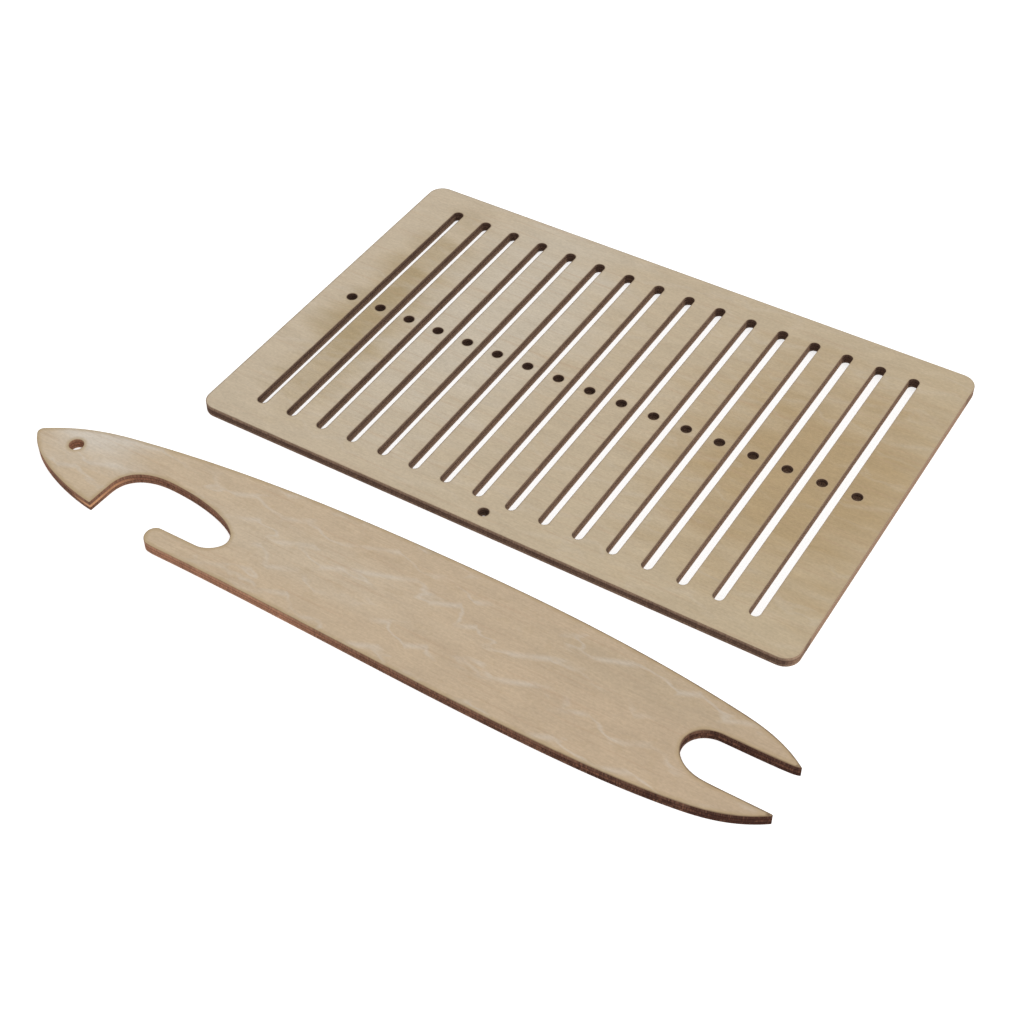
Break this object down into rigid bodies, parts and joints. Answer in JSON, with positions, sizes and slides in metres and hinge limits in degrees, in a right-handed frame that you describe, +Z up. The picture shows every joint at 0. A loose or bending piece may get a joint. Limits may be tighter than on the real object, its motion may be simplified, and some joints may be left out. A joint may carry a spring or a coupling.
{
  "type": "rigid heddle loom set",
  "caption": "Flat plywood heddle plate with long thread slots and a row of eyes, with a loose stick shuttle that has a hooked head and a forked tail.",
  "frame": {"origin": "on the axis of the heddle's middle eye, on the underside, which is the surface that both boards lie on", "axes": "+X along the heddle's long side, the way the shuttle travels; +Y from the shuttle towards the heddle; +Z up, through the boards"},
  "size_m": [0.2244, 0.1713, 0.003],
  "materials": {
    "face_veneer": "bare sanded birch, brown scorch along the cut edge",
    "core_veneer": "bare birch core, seen only as a scorched reddish brown edge",
    "back_veneer": "bare sanded birch, brown scorch along the cut edge"
  },
  "bodies": {
    "heddle": {"heddle_face_veneer": "face_veneer", "heddle_core_veneer": "core_veneer", "heddle_back_veneer": "back_veneer"},
    "shuttle": {"shuttle_face_veneer": "face_veneer", "shuttle_core_veneer": "core_veneer", "shuttle_back_veneer": "back_veneer"}
  },
  "joints": [
    {"name": "shuttle_pass", "type": "slide", "parent": "heddle", "child": "shuttle", "axis": [1, 0, 0], "range_m": [-0.19, 0.205]}
  ]
}
